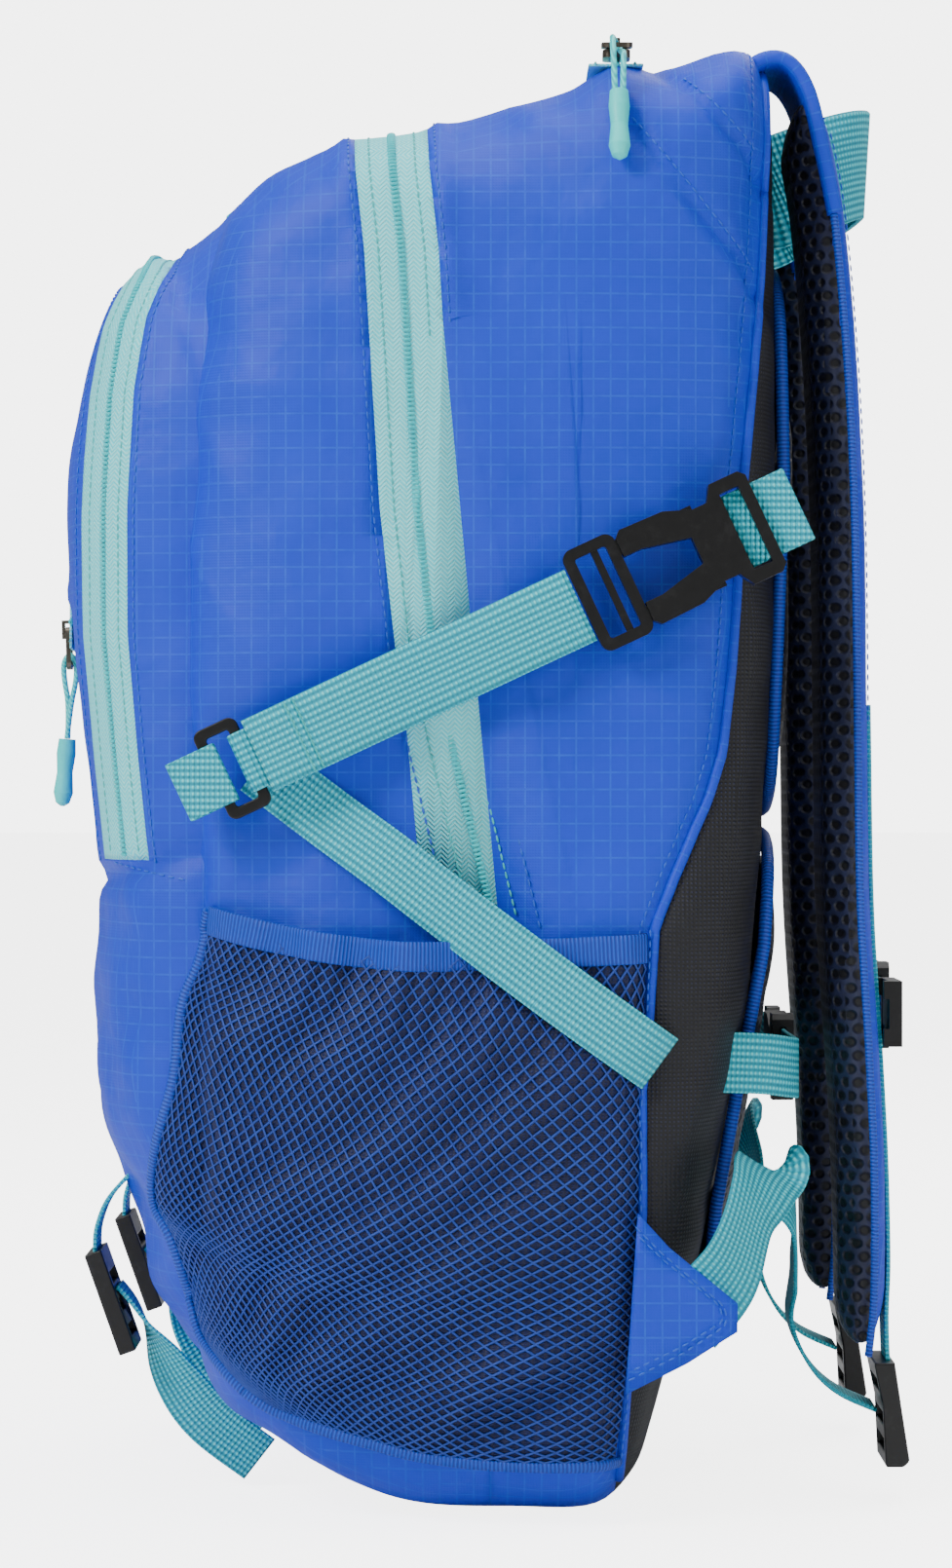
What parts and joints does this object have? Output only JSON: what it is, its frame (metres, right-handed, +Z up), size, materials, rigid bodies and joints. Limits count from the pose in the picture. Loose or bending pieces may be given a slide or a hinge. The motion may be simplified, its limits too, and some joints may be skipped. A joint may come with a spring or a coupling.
{
  "type": "daypack",
  "caption": "Blue hiking daypack with a front pocket, mesh side pockets, aqua coil zips and webbing, black buckles and a padded harness.",
  "frame": {"origin": "on the floor under the bag, on its middle plane, at the flat of the base", "axes": "+X towards the wearer's right side of the bag seen from behind it, the side with the rear zip's pull; -Y the front with the pockets; +Y the harness; +Z up"},
  "size_m": [0.3368, 0.2955, 0.4855],
  "materials": {
    "acetal_black": "satin",
    "cord_aqua": "matte",
    "grip_aqua": "matte",
    "gunmetal": "satin",
    "lining_grey": "matte",
    "mesh_navy": "matte",
    "ripstop_blue": "satin",
    "sheet_plastic": "matte",
    "spacer_mesh": "matte",
    "weave_dark": "matte",
    "webbing_aqua": "matte",
    "zip_aqua": "satin"
  },
  "bodies": {
    "pack": {"accessory_locks": "acetal_black", "accessory_webs": "webbing_aqua", "back_foam": "spacer_mesh", "back_panel": "weave_dark", "compression_females": "acetal_black", "compression_legs": "webbing_aqua", "compression_rings": "acetal_black", "frame_sheet": "sheet_plastic", "front_anchor_webs": "webbing_aqua", "front_pocket": "ripstop_blue", "hydration_sleeve": "lining_grey", "lower_webs": "webbing_aqua", "lumbar_pad": "spacer_mesh", "main_gusset": "ripstop_blue", "main_zip": "zip_aqua", "mesh_pocket_left": "mesh_navy", "mesh_pocket_right": "mesh_navy", "pocket_zip": "zip_aqua", "rear_anchor_webs": "webbing_aqua", "short_zips": "zip_aqua", "side_panel_left": "ripstop_blue", "side_panel_right": "ripstop_blue", "side_tabs": "ripstop_blue", "waist_female": "acetal_black", "waist_webs": "webbing_aqua"},
    "haul_loop": {"haul_loop": "webbing_aqua"},
    "strap_left": {"shoulder_strap_left": "spacer_mesh", "strap_web_left": "webbing_aqua", "ladder_lock_left": "acetal_black"},
    "strap_right": {"shoulder_strap_right": "spacer_mesh", "strap_web_right": "webbing_aqua", "ladder_lock_right": "acetal_black"},
    "sternum_left": {"sternum_slider_left": "acetal_black", "sternum_web_left": "webbing_aqua"},
    "sternum_right": {"sternum_slider_right": "acetal_black", "sternum_web_right": "webbing_aqua", "sternum_female": "acetal_black"},
    "sternum_male": {"sternum_male": "acetal_black"},
    "waist_male": {"waist_male": "acetal_black"},
    "compression_left": {"compression_male_left": "acetal_black", "compression_tail_left": "webbing_aqua"},
    "compression_right": {"compression_male_right": "acetal_black", "compression_tail_right": "webbing_aqua"},
    "zip_main": {"slider_main": "gunmetal"},
    "pull_main": {"pull_ring_main": "gunmetal", "pull_cord_main": "cord_aqua", "pull_grip_main": "grip_aqua"},
    "zip_front": {"slider_front": "gunmetal"},
    "pull_front": {"pull_ring_front": "gunmetal", "pull_cord_front": "cord_aqua", "pull_grip_front": "grip_aqua"},
    "zip_rear": {"slider_rear": "gunmetal"},
    "pull_rear": {"pull_ring_rear": "gunmetal", "pull_cord_rear": "cord_aqua", "pull_grip_rear": "grip_aqua"},
    "zip_pocket": {"slider_pocket": "gunmetal"},
    "pull_pocket": {"pull_ring_pocket": "gunmetal", "pull_cord_pocket": "cord_aqua", "pull_grip_pocket": "grip_aqua"}
  },
  "joints": [
    {"name": "haul_loop_flop", "type": "hinge", "parent": "pack", "child": "haul_loop", "pos_m": [0, 0.099, 0.446], "axis": [1, 0, 0], "range_deg": [-20, 20]},
    {"name": "shoulder_strap_swing", "type": "hinge", "parent": "pack", "child": "strap_right", "pos_m": [0.08, 0.098, 0.478], "axis": [1, 0, 0], "range_deg": [0, 8]},
    {"name": "shoulder_strap_left_swing", "type": "hinge", "parent": "pack", "child": "strap_left", "pos_m": [-0.08, 0.098, 0.478], "axis": [1, 0, 0], "range_deg": [0, 8]},
    {"name": "sternum_height", "type": "slide", "parent": "strap_right", "child": "sternum_right", "axis": [0, -0.0797, 0.9968], "range_m": [-0.014, 0.025]},
    {"name": "sternum_left_height", "type": "slide", "parent": "strap_left", "child": "sternum_left", "axis": [0, -0.0797, 0.9968], "range_m": [-0.014, 0.025]},
    {"name": "sternum_buckle_release", "type": "slide", "parent": "sternum_left", "child": "sternum_male", "axis": [-1, 0, 0], "range_m": [0, 0.026]},
    {"name": "waist_buckle_release", "type": "slide", "parent": "pack", "child": "waist_male", "axis": [-1, 0, 0], "range_m": [0, 0.026]},
    {"name": "compression_right_release", "type": "slide", "parent": "pack", "child": "compression_right", "axis": [0, -0.9059, -0.4235], "range_m": [0, 0.026]},
    {"name": "compression_left_release", "type": "slide", "parent": "pack", "child": "compression_left", "axis": [0, -0.9059, -0.4235], "range_m": [0, 0.026]},
    {"name": "main_zip_slide", "type": "slide", "parent": "pack", "child": "zip_main", "axis": [1, 0, 0], "range_m": [-0.07, 0.07]},
    {"name": "main_pull_swing", "type": "hinge", "parent": "zip_main", "child": "pull_main", "pos_m": [0, -0.03216, 0.46305], "axis": [-1, 0, 0], "range_deg": [0, 140]},
    {"name": "front_zip_slide", "type": "slide", "parent": "pack", "child": "zip_front", "axis": [1, 0, 0], "range_m": [-0.055, 0.055]},
    {"name": "front_pull_swing", "type": "hinge", "parent": "zip_front", "child": "pull_front", "pos_m": [0, -0.147, 0.296], "axis": [-1, 0, 0], "range_deg": [0, 90]},
    {"name": "rear_zip_slide", "type": "slide", "parent": "pack", "child": "zip_rear", "axis": [-1, 0, 0], "range_m": [0, 0.055]},
    {"name": "rear_pull_lift", "type": "hinge", "parent": "zip_rear", "child": "pull_rear", "pos_m": [0.122, 0.044, 0.4831], "axis": [0, -1, 0], "range_deg": [0, 88.24]},
    {"name": "pocket_zip_slide", "type": "slide", "parent": "pack", "child": "zip_pocket", "axis": [0, 0, 1], "range_m": [-0.03, 0.05]},
    {"name": "pocket_pull_swing", "type": "hinge", "parent": "zip_pocket", "child": "pull_pocket", "pos_m": [-0.1289, -0.1255, 0.33], "axis": [0, 1, 0], "range_deg": [0, 90]}
  ],
  "couplings": [
    {"joint": "shoulder_strap_left_swing", "follows": "shoulder_strap_swing", "ratio": 1},
    {"joint": "sternum_left_height", "follows": "sternum_height", "ratio": 1},
    {"joint": "rear_pull_lift", "follows": "rear_zip_slide", "rad_per_m": 28}
  ]
}
